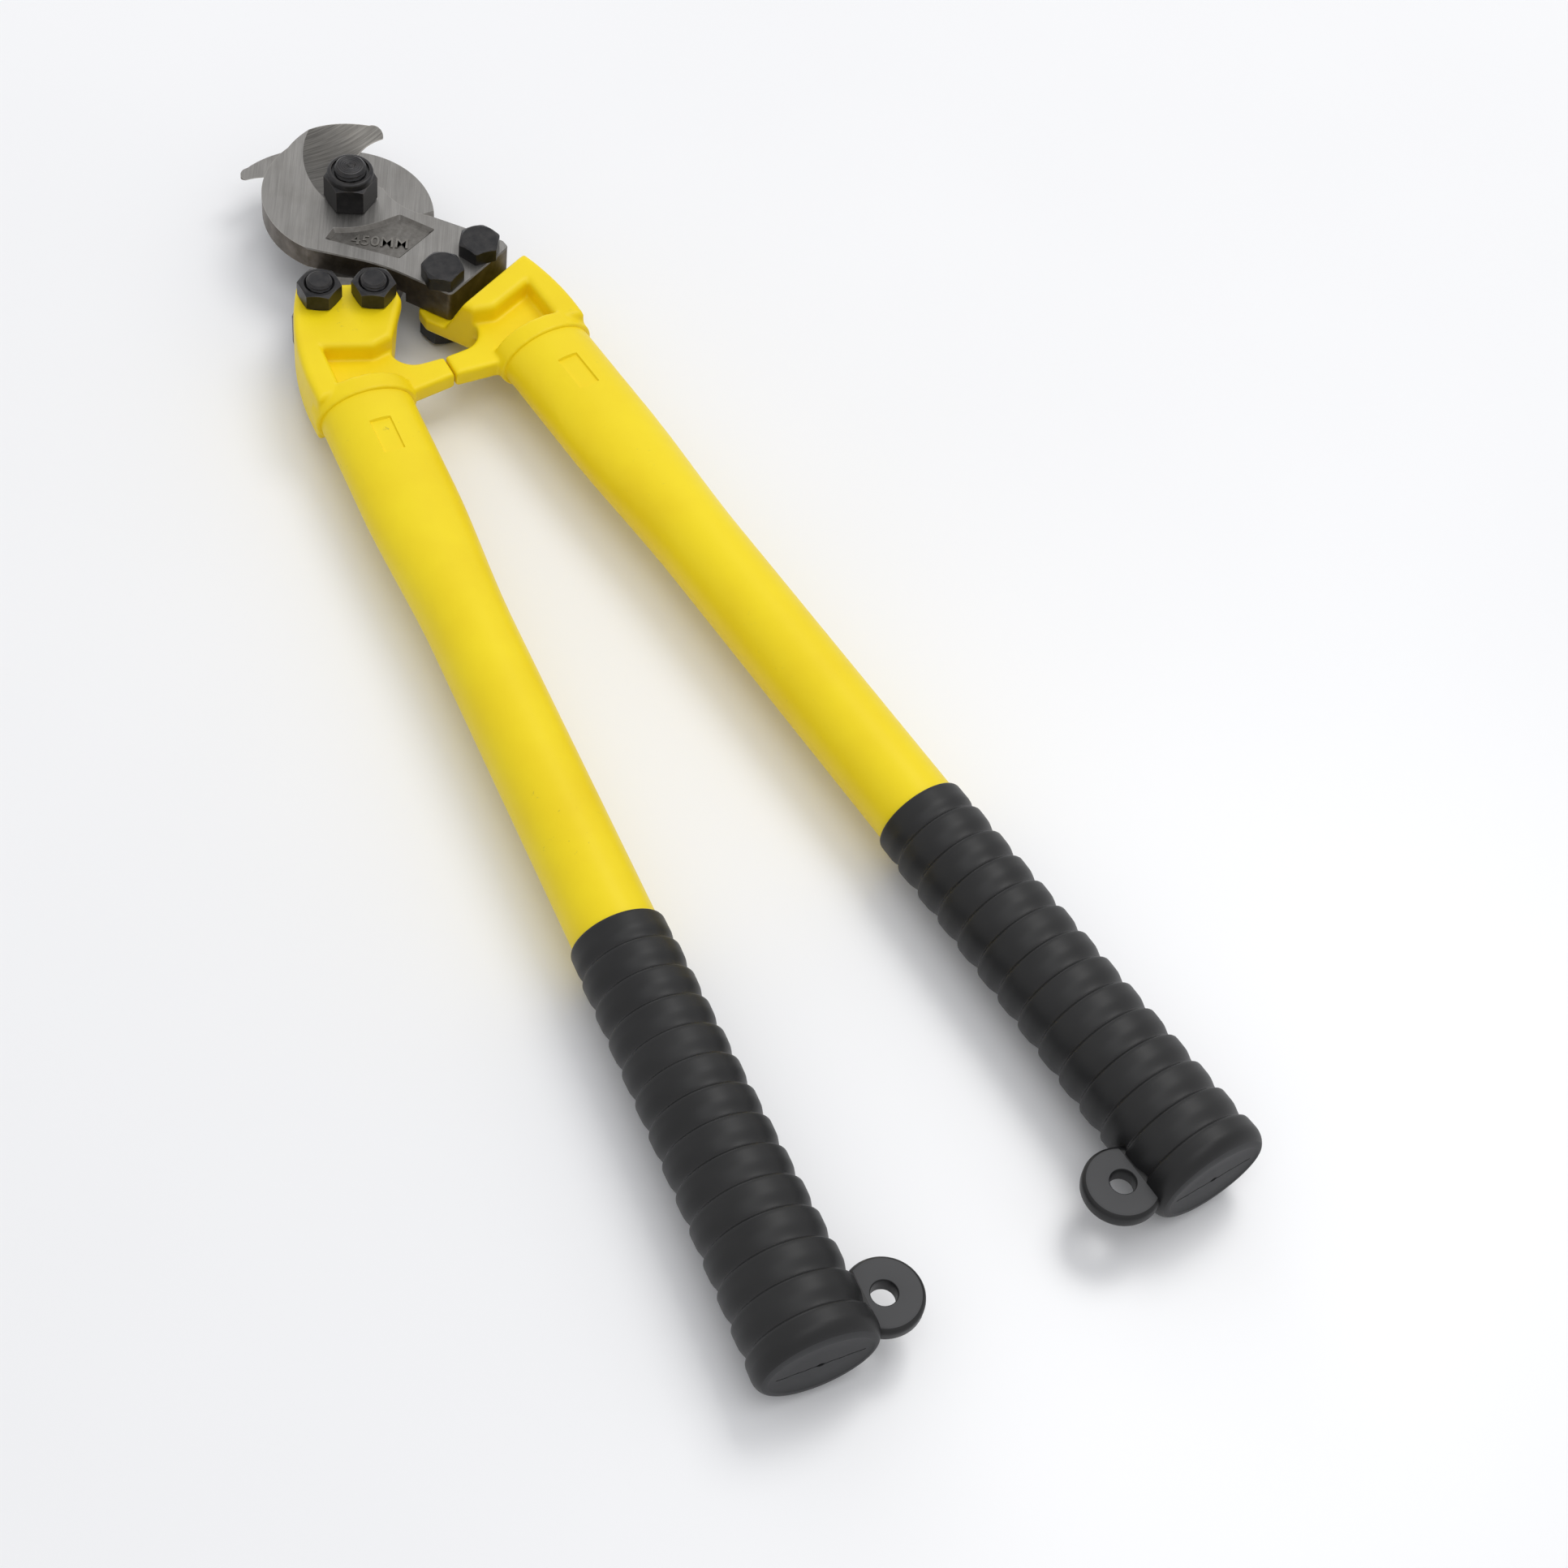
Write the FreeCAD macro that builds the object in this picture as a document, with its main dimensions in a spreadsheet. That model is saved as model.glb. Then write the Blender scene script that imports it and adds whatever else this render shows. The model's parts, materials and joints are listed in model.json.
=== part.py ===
import FreeCAD, Part
import math
import os

import Sketcher
from FreeCAD import Placement, Rotation, Vector

# Scissor-type cable cutter, 450 mm long.  Two equal halves, each a hooked blade bolted to a
# cast bracket that plugs into a tube handle, turn on one pivot bolt.
#
# Model frame: +Y runs along the tool towards the blade tips, +Z is up, and the origin is the
# centre of the bottom of the whole tool.  Sizes below are written about the pivot instead:
# x and y from the pivot axis, z from the plane where the two blades slide on each other.
# The right half carries the upper blade.  The left half is the same half turned 180 degrees
# about the long axis, so its blade is the lower one.

SIZES = {
    # whole tool
    "handle_reach": 415.0,      # pivot to the end of the grips
    # blades
    "blade_thickness": 8.0,
    "blade_gap": 0.05,          # each blade's running clearance to the sliding plane
    "tang_step": 4.0,           # how far the tang is thickened past the sliding plane
    "step_radius": 30.6,        # keeps the thick tang clear of the other blade's disc
    "disc_radius": 28.5,
    "hook_radius": 31.0,
    "tip_radius": 3.0,
    "throat_radius": 17.0,
    "neck_radius": 21.4,
    "tang_radius": 56.0,
    "hub_margin": 0.9,          # full-thickness ring around the flats of the pivot nut
    "bevel_width": 15.8,        # from the cutting edge to the flat of the blade
    "edge_land": 0.35,          # thickness left at the cutting edge
    "bevel_angle": 145.0,
    "bevel_middle": 122.5,      # direction of the middle of the bevel, from +X
    "edge_bevel": 0.4,          # along the top of the blade and the bottom of the tang
    "tang_corner": 1.8,
    "panel_depth": 1.2,         # sunk panel for the size mark
    "panel_slope": 42.0,        # lean of its walls, in degrees from upright
    "panel_corner": 0.9,
    "panel_radius": 28.0,
    # bolts that join a blade to its bracket
    "bolt_radius": 4.0,
    "bolt_hole_gap": 0.2,
    "bolt_hex_wall": 2.0,       # from the thread to the flats of the head and nut
    "bolt_head_height": 5.3,
    "bolt_nut_height": 6.2,
    "bolt_end": 1.6,            # thread that stands past the nut
    "bolt_chamfer": 0.9,
    "nut_countersink": 0.7,
    # pivot
    "pivot_radius": 5.0,
    "pivot_running_gap": 0.05,
    "pivot_hex_wall": 2.3,      # from the thread to the flats of the nut
    "pivot_turn": 34.0,         # how far its hexagons were turned, in degrees
    "pivot_head_height": 7.3,
    "pivot_washer_width": 5.5,
    "pivot_washer_height": 2.2,
    "pivot_nut_height": 9.8,
    "pivot_collar_wall": 1.3,   # around the locking ring
    "pivot_collar_height": 2.5,
    "pivot_collar_round": 0.8,
    "pivot_washer_gap": 0.25,
    "insert_height": 2.4,
    "insert_depth": 1.0,        # top of the ring below the top of the collar
    "insert_width": 1.0,
    "pivot_end": 2.0,
    "thread_gap": 0.05,
    "hex_chamfer_inset": 0.3,   # the turned face starts this far inside the flats
    "hex_chamfer_reach": 0.5,   # and is cut this far past the corners
    "hex_chamfer_slope": 30.0,
    # brackets
    "bracket_half": 9.7,        # half of the thickness of the block and lap
    "web_half": 3.2,
    "outer_radius": 88.0,
    "seat_floor_gap": 0.0,      # the tang lies on the lap
    "step_slope": 24.0,         # lean of the step, in degrees from upright
    "stop_gap": 0.5,            # between the two stop arms when closed
    "arm_radius": 7.5,
    "arm_end_high": 0.4,        # the stop arm's end corners, below arm_high
    "arm_end_low": 1.2,         # and above arm_low
    "cast_round": 2.0,
    "arm_round": 1.2,
    "collar_side": 1.4,         # how far the collar stands out past the tube's sides
    "collar_top": 0.9,          # and past its top and bottom
    "collar_length": 6.5,
    "spigot_length": 45.0,
    "spigot_gap": 0.1,
    # handle tubes: ellipses across the tube, pressed flat at the bracket, round at the grip
    "handle_x": 32.3,           # tube axis at handle_y
    "handle_y": 100.0,
    "handle_angle": 5.02,
    "tube_start": -21.2,        # along the tube from handle_y, towards the grip
    "flat_end": 15.0,
    "round_start": 70.0,
    "tube_flat_width": 14.8,
    "tube_flat_height": 10.3,
    "tube_radius": 12.5,
    "tube_wall": 1.8,
    "dimple_at": -3.4,
    "dimple_width": 7.0,
    "dimple_length": 13.5,
    "dimple_depth": 0.9,
    "dimple_slope": 25.0,
    # grips
    "grip_length": 135.7,
    "grip_end_wall": 10.2,      # solid end past the tube
    "grip_gap": 0.1,
    "grip_start_side": 1.7,     # thickness of the grip's wall at its sides
    "grip_start_top": 1.4,      # and at its top and bottom
    "grip_mid_side": 3.0,
    "grip_mid_top": 2.6,
    "grip_end_side": 5.4,
    "grip_end_top": 4.7,
    "grip_end_round": 3.0,
    "ear_at": 11.5,             # hole centre before the end of the grip
    "ear_reach": 4.5,           # hole centre inward of the grip's side
    "ear_radius": 11.0,
    "ear_thickness": 5.6,
    "ear_hole_radius": 3.55,
}

# Corners of the outlines of the right half, x and y about the pivot.
CORNERS = {
    "throat": (24.2, 10.9),
    "tip_low": (24.0, 27.9),
    "tip_high": (21.5, 32.9),
    "disc_high": (-9.0, 28.5),
    "disc_low": (-21.5, -15.0),
    "neck_high": (11.2, 0.0),
    "neck_low": (21.0, -18.0),
    "tang_bend": (-8.0, -26.4),
    "tang_waist": (1.1, -36.8),
    "step_low": (-9.6, -47.5),
    "step_high": (33.6, -9.3),
    "step_back": (10.0, 20.0),
    "step_left": (-40.0, -10.0),
    "bolt_outer": (27.2, -36.9),
    "bolt_inner": (11.7, -42.9),
    "panel_left": (-10.4, -9.7),
    "panel_tip": (-14.9, -13.2),
    "panel_nose": (2.8, -30.2),
    "panel_right": (18.6, -23.1),
    "panel_high": (11.2, -12.6),
    "panel_bend": (4.0, -13.0),
    "collar_outer": (45.0, -75.5),
    "rim_low": (36.4, -75.0),
    "rim_high": (34.8, -56.0),
    "block_low": (20.5, -61.9),
    "block_inner": (13.6, -60.4),
    "web_inner": (14.3, -61.5),
    "arm_high": (7.6, -68.6),
    "arm_low": (14.5, -78.4),
    "web_low": (41.0, -77.0),
    "web_high": (38.5, -53.0),
}

# Corners that keep their place beside a bolt, as steps from that bolt's centre.
BESIDE_BOLTS = {
    "tang_inner": (-0.9, -7.9),
    "tang_outer": (9.3, -2.2),
    "tang_side": (8.9, 1.2),
    "lap_outer": (4.3, 8.0),
    "lap_inner": (-5.2, 4.4),
    "lap_side": (-7.8, 0.6),
    "lap_low": (-7.6, -4.0),
    "seat_inner": (-9.5, -12.2),
    "seat_outer": (15.0, -0.1),
    "seat_far_outer": (15.0, 30.0),
    "seat_far_inner": (-9.5, 30.0),
}

INNER_SIDE = ("tang_inner", "lap_inner", "lap_side", "lap_low", "seat_inner", "seat_far_inner")

doc = FreeCAD.newDocument("cable_cutter")
sheet = doc.addObject("Spreadsheet::Sheet", "Sizes")


def fill_sheet():
    cells = dict(SIZES)
    for corners in (CORNERS, BESIDE_BOLTS):
        for name, (x, y) in corners.items():
            cells[name + "_x"] = x
            cells[name + "_y"] = y
    for row, (name, value) in enumerate(cells.items(), start=1):
        sheet.set(f"A{row}", name)
        sheet.set(f"B{row}", str(value))
        sheet.setAlias(f"B{row}", name)
    doc.recompute()


fill_sheet()


def cell(name):
    """The expression that reads one cell of the sheet."""
    return f"{sheet.Name}.{name}"


def size(name):
    """The value in one cell of the sheet."""
    return float(sheet.get(name))


def plane(body, role):
    for feature in body.Origin.OriginFeatures:
        if feature.Role == role:
            return feature
    raise ValueError(role)


def new_sketch(body, name, role="XY_Plane"):
    sketch = body.newObject("Sketcher::SketchObject", name)
    sketch.AttachmentSupport = [(plane(body, role), "")]
    sketch.MapMode = "FlatFace"
    return sketch


def lift(sketch, expression):
    """Moves a sketch along its own normal by a bound distance."""
    sketch.setExpression("AttachmentOffset.Base.z", expression)


def bind(sketch, constraint, expression):
    index = sketch.addConstraint(constraint)
    sketch.setExpression(f"Constraints[{index}]", expression)


def across_tube(sketch, distance):
    """Sets a sketch on the XZ plane square to the right handle's axis, at a distance along it."""
    turn = cell("handle_angle")
    sketch.AttachmentOffset = Placement(Vector(0, 0, 0), Rotation(Vector(0, 1, 0), size("handle_angle")))
    sketch.setExpression("AttachmentOffset.Rotation.Angle", turn)
    along = f"({distance})"
    sketch.setExpression("AttachmentOffset.Base.x", f"{cell('handle_x')} + {along} * sin({turn})")
    sketch.setExpression("AttachmentOffset.Base.z", f"{cell('handle_y')} + {along} * cos({turn})")


def spot(name):
    """x and y expressions of a named corner; corners beside a bolt move with the bolt."""
    if name in BESIDE_BOLTS:
        bolt = "bolt_inner" if name in INNER_SIDE else "bolt_outer"
        return [f"{cell(bolt + axis)} + {cell(name + axis)}" for axis in ("_x", "_y")]
    return [cell(name + axis) for axis in ("_x", "_y")]


def outline(sketch, steps):
    """Closed outline.  Each step is the corner it ends at, and for a round stretch the radius
    cell and the side that the centre lies on, seen along the stretch."""
    ends = [step[0] for step in steps]
    points = []
    for end in ends:
        expressions = spot(end) if isinstance(end, str) else end
        points.append(expressions)
    values = [Vector(*(float(sketch.evalExpression(e)) for e in pair), 0) for pair in points]
    starts = []
    for index, step in enumerate(steps):
        a, b = values[index - 1], values[index]
        if len(step) == 1:
            geo = sketch.addGeometry(Part.LineSegment(a, b))
            starts.append((geo, 1, 2))
            continue
        radius, side = size(step[1]), step[2]
        chord = b - a
        normal = Vector(-chord.y, chord.x, 0).normalize()
        rise = math.sqrt(radius ** 2 - (chord.Length / 2) ** 2)
        turn = 1 if side == "left" else -1
        centre = (a + b) * 0.5 + normal * (rise * turn)
        first, last = (a, b) if turn > 0 else (b, a)
        begin = math.atan2(first.y - centre.y, first.x - centre.x)
        finish = math.atan2(last.y - centre.y, last.x - centre.x)
        circle = Part.Circle(centre, Vector(0, 0, 1), radius)
        geo = sketch.addGeometry(Part.ArcOfCircle(circle, begin, finish))
        starts.append((geo, 1, 2) if turn > 0 else (geo, 2, 1))
        bind(sketch, Sketcher.Constraint("Radius", geo, radius), cell(step[1]))
    for index, (geo, start, end) in enumerate(starts):
        after = starts[(index + 1) % len(starts)]
        sketch.addConstraint(Sketcher.Constraint("Coincident", geo, end, after[0], after[1]))
        x, y = points[index]
        bind(sketch, Sketcher.Constraint("DistanceX", geo, end, values[index].x), x)
        bind(sketch, Sketcher.Constraint("DistanceY", geo, end, values[index].y), y)


def circle(sketch, radius, at=None):
    x, y = spot(at) if at else ("0", "0")
    centre = Vector(float(sketch.evalExpression(x)), float(sketch.evalExpression(y)), 0)
    value = float(sketch.evalExpression(radius))
    geo = sketch.addGeometry(Part.Circle(centre, Vector(0, 0, 1), value))
    if at:
        bind(sketch, Sketcher.Constraint("DistanceX", geo, 3, centre.x), x)
        bind(sketch, Sketcher.Constraint("DistanceY", geo, 3, centre.y), y)
    else:
        sketch.addConstraint(Sketcher.Constraint("Coincident", geo, 3, -1, 1))
    bind(sketch, Sketcher.Constraint("Radius", geo, value), radius)


def hexagon(sketch, across, turn):
    """Hexagon about the sketch's origin with its first corner at an angle from +X, in degrees."""
    reach = f"{across} / 2 / cos(30)"
    angles = [turn + 60 * k for k in range(6)]
    outline(sketch, [([f"{reach} * cos({angle})", f"{reach} * sin({angle})"],) for angle in angles])


def ellipse(sketch, width, height):
    """Ellipse about the sketch's origin; width and height are half axes."""
    a, b = (float(sketch.evalExpression(e)) for e in (width, height))
    if abs(a - b) < 1e-6:
        circle(sketch, width)
        return
    flip = b > a
    major = Vector(0, b, 0) if flip else Vector(a, 0, 0)
    minor = Vector(a, 0, 0) if flip else Vector(0, b, 0)
    geo = sketch.addGeometry(Part.Ellipse(major, minor, Vector(0, 0, 0)))
    sketch.exposeInternalGeometry(geo)
    long_axis, short_axis = geo + 1, geo + 2
    sketch.addConstraint(Sketcher.Constraint("Coincident", geo, 3, -1, 1))
    sketch.addConstraint(Sketcher.Constraint("Vertical" if flip else "Horizontal", long_axis))
    long_half, short_half = (height, width) if flip else (width, height)
    bind(sketch, Sketcher.Constraint("Distance", long_axis, 2 * max(a, b)), f"2 * ({long_half})")
    bind(sketch, Sketcher.Constraint("Distance", short_axis, 2 * min(a, b)), f"2 * ({short_half})")


def flats(screw):
    """Across the flats of the hexagons of one kind of screw."""
    return f"2 * ({cell(screw + '_radius')} + {cell(screw + '_hex_wall')})"


def insert_radius():
    return f"({cell('pivot_radius')} + {cell('insert_width')})"


def pad(body, name, sketch, length, midplane=False, flip=False):
    feature = body.newObject("PartDesign::Pad", name)
    feature.Profile = sketch
    feature.setExpression("Length", length)
    feature.Midplane = midplane
    feature.Reversed = flip
    doc.recompute()
    return feature


def pocket(body, name, sketch, length, flip=False, through=False, taper=None):
    """Cuts downwards from the sketch, or upwards with flip; checks that it removed material."""
    before = body.Shape.Volume
    feature = body.newObject("PartDesign::Pocket", name)
    feature.Profile = sketch
    feature.Reversed = flip
    if through:
        feature.Type = "ThroughAll"
        feature.Midplane = True
    else:
        feature.setExpression("Length", length)
    if taper:
        feature.setExpression("TaperAngle", taper)
    doc.recompute()
    if not body.Shape.Volume < before - 1e-3:
        raise RuntimeError(f"{body.Label}: {name} cut nothing")
    return feature


def round_edges(body, name, base, radius, wanted):
    names = [f"Edge{n}" for n, edge in enumerate(base.Shape.Edges, start=1) if wanted(edge)]
    feature = body.newObject("PartDesign::Fillet", name)
    feature.Base = (base, names)
    feature.setExpression("Radius", radius)
    doc.recompute()
    return feature


def bevel_edges(body, name, base, width, wanted):
    names = [f"Edge{n}" for n, edge in enumerate(base.Shape.Edges, start=1) if wanted(edge)]
    feature = body.newObject("PartDesign::Chamfer", name)
    feature.Base = (base, names)
    feature.setExpression("Size", width)
    doc.recompute()
    return feature


def at_height(height):
    """Picks edges that lie wholly at one of two heights, above and below the middle plane."""
    def wanted(edge):
        box = edge.BoundBox
        return box.ZLength < 1e-4 and abs(abs(box.ZMin) - height) < 1e-4
    return wanted


def upright_at(edge, points):
    """Picks upright edges that stand over one of some points."""
    box = edge.BoundBox
    if box.XLength > 1e-4 or box.YLength > 1e-4:
        return False
    return any(abs(box.XMin - point.x) < 1e-3 and abs(box.YMin - point.y) < 1e-3 for point in points)


def on_tang_rim(edge):
    """Picks the blade's upper rim below the pivot and the lower rim of the thick tang."""
    box = edge.BoundBox
    if box.ZLength > 1e-4 or edge.CenterOfMass.y > size("neck_low_y"):
        return False
    upper, lower = size("blade_thickness"), -size("tang_step")
    return abs(box.ZMin - upper) < 1e-4 or abs(box.ZMin - lower) < 1e-4


def new_body(label):
    body = doc.addObject("PartDesign::Body", label)
    body.Label = label
    return body


def sections(body, kind, name, stations):
    """Smooth loft through ellipses square to the tube axis; a station is distance, width, height."""
    sketches = []
    for index, (distance, width, height) in enumerate(stations):
        sketch = new_sketch(body, f"{name}_section_{index}", "XZ_Plane")
        lift(sketch, distance)
        ellipse(sketch, width, height)
        sketches.append(sketch)
    doc.recompute()
    feature = body.newObject(kind, name)
    feature.Profile = sketches[0]
    feature.Sections = sketches[1:]
    doc.recompute()
    return feature


# ---------------------------------------------------------------- blades

TANG = [
    ("tang_bend",),
    ("tang_waist", "tang_radius", "right"),
    ("tang_inner",),
    ("tang_outer",),
    ("tang_side",),
    ("neck_low",),
]


def make_blade(label):
    body = new_body(label)
    profile = new_sketch(body, "blade_outline")
    lift(profile, cell("blade_gap"))
    outline(profile, [("disc_high", "hook_radius", "left"), ("disc_low", "disc_radius", "left")] + TANG + [
        ("neck_high", "neck_radius", "right"),
        ("tip_low", "throat_radius", "right"),
        ("tip_high", "tip_radius", "left"),
    ])
    full = f"{cell('blade_thickness')} - {cell('blade_gap')}"
    pad(body, "blade_plate", profile, full)

    cut = new_sketch(body, "bevel_section", "XZ_Plane")
    cut.AttachmentOffset = Placement(Vector(0, 0, 0), Rotation(Vector(0, 1, 0), size("bevel_middle")))
    cut.setExpression("AttachmentOffset.Rotation.Angle", cell("bevel_middle"))
    cut.setExpression("AttachmentOffset.Base.x", cell("throat_x"))
    cut.setExpression("AttachmentOffset.Base.z", f"-{cell('throat_y')}")
    thick = cell("blade_thickness")
    edge = f"{cell('blade_gap')} + {cell('edge_land')}"
    radius = cell("throat_radius")
    slope = f"({thick} - {edge}) / {cell('bevel_width')}"
    reach = f"{radius} + {cell('bevel_width')}"
    outline(cut, [
        (["1", f"{edge} - ({radius} - 1) * {slope}"],),
        ([f"{reach} + 2", f"{thick} + 2 * {slope}"],),
        (["1", f"{thick} + 2 * {slope}"],),
    ])
    groove = body.newObject("PartDesign::Groove", "cutting_bevel")
    groove.Profile = cut
    groove.ReferenceAxis = (cut, ["V_Axis"])
    groove.setExpression("Angle", cell("bevel_angle"))
    groove.Midplane = True
    doc.recompute()

    hub = new_sketch(body, "hub_outline")
    lift(hub, cell("blade_gap"))
    circle(hub, f"{flats('pivot')} / 2 + {cell('hub_margin')}")
    pad(body, "hub", hub, full)
    throat = new_sketch(body, "throat_outline")
    circle(throat, radius, "throat")
    pocket(body, "throat_clearance", throat, None, through=True)

    tang = new_sketch(body, "tang_outline")
    lift(tang, cell("blade_gap"))
    outline(tang, TANG)
    step = f"{cell('tang_step')} + {cell('blade_gap')}"
    pad(body, "tang_step", tang, step, flip=True)
    sweep = new_sketch(body, "sweep_outline")
    lift(sweep, cell("blade_gap"))
    circle(sweep, cell("step_radius"))
    pocket(body, "sweep_clearance", sweep, step)
    beside = new_sketch(body, "closed_outline")
    lift(beside, cell("blade_gap"))
    outline(beside, [("step_low",), ("step_high",), ("step_back",), ("step_left",)])
    closed = pocket(body, "closed_clearance", beside, step)

    corners = [Vector(*(float(profile.evalExpression(e)) for e in spot(name)), 0)
               for name in ("tang_inner", "tang_outer")]
    rounded = round_edges(body, "tang_corners", closed, cell("tang_corner"),
                          lambda edge: upright_at(edge, corners))
    bevel_edges(body, "outline_bevel", rounded, cell("edge_bevel"), on_tang_rim)

    holes = new_sketch(body, "bolt_hole_outlines")
    for bolt in ("bolt_outer", "bolt_inner"):
        circle(holes, f"{cell('bolt_radius')} + {cell('bolt_hole_gap')}", bolt)
    pocket(body, "bolt_holes", holes, None, through=True)
    bore = new_sketch(body, "bore_outline")
    circle(bore, f"{cell('pivot_radius')} + {cell('pivot_running_gap')}")
    pocket(body, "pivot_bore", bore, None, through=True)

    panel = new_sketch(body, "panel_outline")
    lift(panel, thick)
    outline(panel, [
        ("panel_tip",),
        ("panel_nose",),
        ("panel_right",),
        ("panel_high",),
        ("panel_bend",),
        ("panel_left", "panel_radius", "right"),
    ])
    sunk = pocket(body, "mark_panel", panel, cell("panel_depth"), taper=f"-{cell('panel_slope')}")
    floor, top = size("blade_thickness") - size("panel_depth"), size("blade_thickness")
    round_edges(body, "panel_corners", sunk, cell("panel_corner"),
                lambda edge: abs(edge.BoundBox.ZMin - floor) < 1e-3 and abs(edge.BoundBox.ZMax - top) < 1e-3)
    return body


# ---------------------------------------------------------------- brackets

# The step in the block follows the tang's end; past it the seat is open towards the pivot.
SEAT = [
    ("seat_inner",),
    ("seat_outer",),
    ("seat_far_outer",),
    ("seat_far_inner",),
]


def make_bracket(label):
    body = new_body(label)
    block = new_sketch(body, "block_outline")
    outline(block, [
        ("lap_inner",),
        ("lap_side",),
        ("lap_low",),
        ("block_inner",),
        ("block_low",),
        ("rim_high",),
        ("rim_low",),
        ("collar_outer",),
        ("lap_outer", "outer_radius", "left"),
    ])
    block_pad = pad(body, "block", block, f"2 * {cell('bracket_half')}", midplane=True)
    round_edges(body, "block_edges", block_pad, cell("cast_round"), at_height(size("bracket_half")))

    web = new_sketch(body, "web_outline")
    arm_end = f"{cell('stop_gap')} / 2"
    outline(web, [
        ("block_inner",),
        ("web_inner",),
        ("arm_high", "arm_radius", "right"),
        ([arm_end, f"{cell('arm_high_y')} - {cell('arm_end_high')}"],),
        ([arm_end, f"{cell('arm_low_y')} + {cell('arm_end_low')}"],),
        ("arm_low",),
        ("web_low",),
        ("web_high",),
    ])
    web_pad = pad(body, "web", web, f"2 * {cell('web_half')}", midplane=True)
    level = at_height(size("web_half"))
    side, top = size("arm_low_x") + 0.1, size("web_inner_y") + 0.1
    round_edges(body, "arm_edges", web_pad, cell("arm_round"),
                lambda edge: level(edge) and edge.BoundBox.XMax < side and edge.BoundBox.YMax < top)

    collar = new_sketch(body, "collar_outline", "XZ_Plane")
    across_tube(collar, cell("tube_start"))
    ellipse(collar, f"{cell('tube_flat_width')} + {cell('collar_side')}",
            f"{cell('tube_flat_height')} + {cell('collar_top')}")
    collar_pad = pad(body, "collar", collar, cell("collar_length"), flip=True)

    seat = new_sketch(body, "seat_outline")
    lift(seat, f"-{cell('tang_step')} - {cell('seat_floor_gap')}")
    outline(seat, SEAT)
    rise = f"{cell('tang_step')} + {cell('seat_floor_gap')} + {cell('bracket_half')} + 1"
    pocket(body, "tang_seat", seat, rise, flip=True, taper=cell("step_slope"))

    holes = new_sketch(body, "bolt_hole_outlines")
    for bolt in ("bolt_outer", "bolt_inner"):
        circle(holes, f"{cell('bolt_radius')} + {cell('bolt_hole_gap')}", bolt)
    pocket(body, "bolt_holes", holes, None, through=True)

    spigot = new_sketch(body, "spigot_outline", "XZ_Plane")
    across_tube(spigot, f"{cell('tube_start')} - 1")
    inset = f"{cell('tube_wall')} - {cell('spigot_gap')}"
    ellipse(spigot, f"{cell('tube_flat_width')} - {inset}", f"{cell('tube_flat_height')} - {inset}")
    pad(body, "spigot", spigot, f"{cell('flat_end')} - {cell('tube_start')} + 1")
    return body


# ---------------------------------------------------------------- handle tubes and grips

def easing_stations(inset):
    """Ellipses between the pressed flat end of a tube and its round length."""
    stations = []
    flat_end, round_start = cell("flat_end"), cell("round_start")
    for share in (0.0, 0.25, 0.5, 0.75, 1.0):
        eased = share * share * (3 - 2 * share)
        axes = []
        for flat in ("tube_flat_width", "tube_flat_height"):
            axes.append(f"{cell(flat)} + ({cell('tube_radius')} - {cell(flat)}) * {eased} - {inset}")
        stations.append((f"{flat_end} + ({round_start} - {flat_end}) * {share}", *axes))
    return stations


def rectangle(sketch, width, length, x="0", y="0"):
    signs = [(-1, -1), (1, -1), (1, 1), (-1, 1)]
    outline(sketch, [([f"{x} + {i} * {width} / 2", f"{y} + {j} * {length} / 2"],) for i, j in signs])


def tube_section(body, name, distance, station):
    sketch = new_sketch(body, f"{name}_section", "XZ_Plane")
    lift(sketch, distance)
    ellipse(sketch, *station[1:])
    return sketch


def handle_end():
    """Distance along the handle to the end of its grip."""
    return f"({cell('handle_reach')} - {cell('handle_y')}) / cos({cell('handle_angle')})"


def make_tube(label):
    """A tube along -Y from its own origin, which is the handle's reference point."""
    body = new_body(label)
    outside, inside = easing_stations("0"), easing_stations(cell("tube_wall"))
    tube_end = f"{handle_end()} - {cell('grip_end_wall')}"
    flat = (0, cell("tube_start"), f"{cell('flat_end')} - {cell('tube_start')}")
    round_run = (-1, cell("round_start"), f"{tube_end} - {cell('round_start')}")

    station, start, length = flat
    pad(body, "flat_run", tube_section(body, "flat", start, outside[station]), length)
    sections(body, "PartDesign::AdditiveLoft", "easing", outside)
    station, start, length = round_run
    pad(body, "round_run", tube_section(body, "round", start, outside[station]), length)

    sections(body, "PartDesign::SubtractiveLoft", "easing_bore", inside)
    for name, (station, start, length) in (("flat", flat), ("round", round_run)):
        section = tube_section(body, f"{name}_bore", start, inside[station])
        pocket(body, f"{name}_bore_cut", section, length, flip=True)
    for name, side in (("top_dimple", ""), ("bottom_dimple", "-")):
        dimple = new_sketch(body, name + "_outline")
        lift(dimple, f"{side}{cell('tube_flat_height')}")
        rectangle(dimple, cell("dimple_width"), cell("dimple_length"), y=f"-{cell('dimple_at')}")
        pocket(body, name, dimple, cell("dimple_depth"), flip=side == "-", taper=f"-{cell('dimple_slope')}")
    return body


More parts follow.
